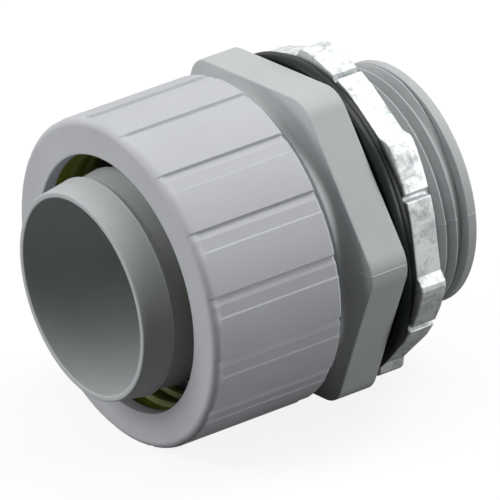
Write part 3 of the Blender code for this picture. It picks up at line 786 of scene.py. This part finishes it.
# Locknut: steel ring with seven lugs and driver notches, pressed and tapped, then zinc plated.
# The plating is bright but cloudy, with darker specks where it is thin.
LUGS = 7
LUG_SPAN = math.radians(22.0)
LUG_HEIGHT = 1.1 * MM
FLAT_DROP = 0.4 * MM
NOTCH_DEPTH = 1.3 * MM
# Corners of one lug and its notch, as (share of the lug's span, rise over the flat, ease).
LUG_CORNERS = (
    (0.00, -FLAT_DROP, 0.3 * MM),
    (0.12, LUG_HEIGHT * 0.8, 0.5 * MM),
    (0.20, LUG_HEIGHT, 0.8 * MM),
    (0.32, LUG_HEIGHT * 0.9, 1.0 * MM),
    (0.65, LUG_HEIGHT * 0.4, 1.5 * MM),
    (0.97, 0.0, 0.3 * MM),
    (1.00, -NOTCH_DEPTH, 0.2 * MM),
    (1.06, -NOTCH_DEPTH, 0.2 * MM),
    (1.09, 0.0, 0.25 * MM),
)
FLAT_MIDDLE = 1.4
FLAT_MIDDLE_DROP = 0.8 * FLAT_DROP
LOCKNUT_TURN = math.radians(-9.8)
LOCKNUT_WIDTH = 5.87 * MM
LOCKNUT_EDGE = 0.35 * MM
LOCKNUT_FACE_REACH = 3.0 * MM
LOCKNUT_BORE_CHAMFER = 0.3 * MM
ZINC_METALLIC = 0.45
ZINC_RELIEF = 0.7
ZINC_RELIEF_DEPTH = 0.06 * MM
locknut_front = locknut_low.x - seat_x
locknut_thickness = locknut_high.x - locknut_low.x
locknut_bore = HUB_END_RADIUS + (hub_length - locknut_front) * HUB_TAPER + CLEARANCE
locknut_flat_radius = locknut_bore + LOCKNUT_WIDTH

zinc = cloudy(
    "zinc_plate", clouds=(320.0, 5.0, 0.65, 0.6), specks=(1500.0, 3.0, 0.6, 0.0),
    cloud_share=0.75, tones=((0.36, (0.36, 0.39, 0.395)), (0.56, (0.78, 0.80, 0.805))),
    gloss=(0.66, 0.46), relief=(ZINC_RELIEF, ZINC_RELIEF_DEPTH, "blend"))
zinc.node_tree.nodes["Principled BSDF"].inputs["Metallic"].default_value = ZINC_METALLIC

next_lug = math.tau / LUGS / LUG_SPAN
sector_corners = [
    (FLAT_MIDDLE, -FLAT_MIDDLE_DROP, SHARP),
    *((next_lug + share, rise, ease) for share, rise, ease in LUG_CORNERS),
    (FLAT_MIDDLE + next_lug, -FLAT_MIDDLE_DROP, SHARP),
]


def locknut_ring(inset, depth):
    """One lug's share of the locknut, from flat middle to flat middle, drawn in by inset."""
    path = []
    for share, rise, ease in sector_corners:
        radius = locknut_flat_radius + rise - inset
        angle = share * LUG_SPAN
        path.append((radius * math.cos(angle), radius * math.sin(angle), ease))
    return [(point.length, math.atan2(point.y, point.x) + LOCKNUT_TURN, locknut_front + depth)
            for point in eased(path)]


locknut_edge = eased([(LOCKNUT_FACE_REACH, 0.0, SHARP), (0.0, 0.0, LOCKNUT_EDGE),
                      (0.0, locknut_thickness, LOCKNUT_EDGE),
                      (LOCKNUT_FACE_REACH, locknut_thickness, SHARP)])
locknut_rings = [locknut_ring(inset, depth) for inset, depth in locknut_edge]
locknut_angles = [angle for radius, angle, station in locknut_rings[0]]
for chamfer, depth in ((LOCKNUT_BORE_CHAMFER, locknut_thickness),
                       (0.0, locknut_thickness - LOCKNUT_BORE_CHAMFER),
                       (0.0, LOCKNUT_BORE_CHAMFER), (LOCKNUT_BORE_CHAMFER, 0.0)):
    locknut_rings.append([(locknut_bore + chamfer, angle, locknut_front + depth)
                          for angle in locknut_angles])
finished("locknut_ring", [skin_of(locknut_rings, LUGS, zinc)],
         zinc, "locknut", "locknut")

# Floor and light: a white sheet in a white studio, and four square lamps: above, beyond the
# ferrule, low beside the hub and high over it. The sheet glows for the camera only, and the
# studio is bright only there and in reflections, so that neither lights the connector much.
WHITE = (1.0, 1.0, 1.0, 1.0)
FLOOR_REACH = 3.0
FLOOR_SHADE = 0.13
FLOOR_GLOW = 0.87
FLOOR_ROUGHNESS = 0.9
FLOOR_SHINE = 0.1
STUDIO_TINT = (0.95, 0.98, 1.0, 1.0)
STUDIO_LIGHT = 0.01
floor_mesh = bpy.data.meshes.new("floor")
floor_mesh.from_pydata([(-FLOOR_REACH, -FLOOR_REACH, 0.0), (FLOOR_REACH, -FLOOR_REACH, 0.0),
                        (FLOOR_REACH, FLOOR_REACH, 0.0), (-FLOOR_REACH, FLOOR_REACH, 0.0)],
                       [], [(0, 1, 2, 3)])
floor = bpy.data.objects.new("floor", floor_mesh)
bpy.context.scene.collection.objects.link(floor)
sheet = bpy.data.materials.new("white_sheet")
sheet.use_nodes = True
tree = sheet.node_tree
shader = tree.nodes["Principled BSDF"]
shader.inputs["Base Color"].default_value = (FLOOR_SHADE, FLOOR_SHADE, FLOOR_SHADE, 1.0)
shader.inputs["Roughness"].default_value = FLOOR_ROUGHNESS
shader.inputs["Specular IOR Level"].default_value = FLOOR_SHINE
path = tree.nodes.new("ShaderNodeLightPath")
strength = reckon(tree, "MULTIPLY", path.outputs["Is Camera Ray"], FLOOR_GLOW)
glow = add_node(tree, "ShaderNodeEmission", {"Color": WHITE, "Strength": strength})
both = add_node(tree, "ShaderNodeAddShader", {0: shader.outputs[0], 1: glow.outputs[0]})
tree.links.new(both.outputs[0], tree.nodes["Material Output"].inputs["Surface"])
floor_mesh.materials.append(sheet)

world = bpy.data.worlds.new("white_studio")
bpy.context.scene.world = world
world.use_nodes = True
tree = world.node_tree
tree.nodes.clear()
path = tree.nodes.new("ShaderNodeLightPath")
lighting = add_node(tree, "ShaderNodeBackground",
                    {"Color": STUDIO_TINT, "Strength": STUDIO_LIGHT})
backdrop = add_node(tree, "ShaderNodeBackground", {"Color": WHITE, "Strength": 1.0})
seen = reckon(tree, "MAXIMUM", path.outputs["Is Camera Ray"], path.outputs["Is Glossy Ray"])
chosen = add_node(tree, "ShaderNodeMixShader",
                  {"Fac": seen, 1: lighting.outputs[0], 2: backdrop.outputs[0]})
ending = tree.nodes.new("ShaderNodeOutputWorld")
tree.links.new(chosen.outputs[0], ending.inputs["Surface"])


def soft_lamp(name, place, size, power):
    """A square area lamp that faces the connector."""
    lamp = bpy.data.lights.new(name, "AREA")
    lamp.size = size
    lamp.energy = power
    item = bpy.data.objects.new(name, lamp)
    bpy.context.scene.collection.objects.link(item)
    item.location = place
    item.rotation_mode = "QUATERNION"
    item.rotation_quaternion = (Vector((0.0, 0.0, axis_z)) - Vector(place)).to_track_quat("-Z", "Y")


soft_lamp("top_lamp", (0.0, 0.15, 0.95), size=0.6, power=3.0)
soft_lamp("left_lamp", (-0.8, 0.35, 0.5), size=0.7, power=8.4)
soft_lamp("right_lamp", (0.65, -0.7, 0.3), size=0.4, power=4.4)
soft_lamp("high_lamp", (0.5, -0.1, 0.8), size=0.5, power=4.7)

# Camera: the photograph's long view from the ferrule's side, above the axis and slightly rolled.
# The aim is a point in the frame of the object, a little before and above its middle.
CAMERA_AZIMUTH = math.radians(-33.79)
CAMERA_ELEVATION = math.radians(27.64)
CAMERA_ROLL = math.radians(-2.73)
CAMERA_DISTANCE = 1530.0 * MM
CAMERA_LENS = 689.6
CAMERA_NEAR = 0.1
CAMERA_FAR = 20.0
AIM = Vector((-5.73, -10.19, 31.67)) * MM
back = Vector((math.sin(CAMERA_AZIMUTH) * math.cos(CAMERA_ELEVATION),
               -math.cos(CAMERA_AZIMUTH) * math.cos(CAMERA_ELEVATION),
               math.sin(CAMERA_ELEVATION)))
view = bpy.data.cameras.new("catalogue_view")
view.lens = CAMERA_LENS
view.clip_start = CAMERA_NEAR
view.clip_end = CAMERA_FAR
camera = bpy.data.objects.new("catalogue_view", view)
bpy.context.scene.collection.objects.link(camera)
camera.location = AIM + back * CAMERA_DISTANCE
camera.rotation_mode = "QUATERNION"
camera.rotation_quaternion = ((-back).to_track_quat("-Z", "Y")
                              @ Matrix.Rotation(CAMERA_ROLL, 3, "Z").to_quaternion())
bpy.context.scene.camera = camera
bpy.context.scene.view_settings.view_transform = "Standard"
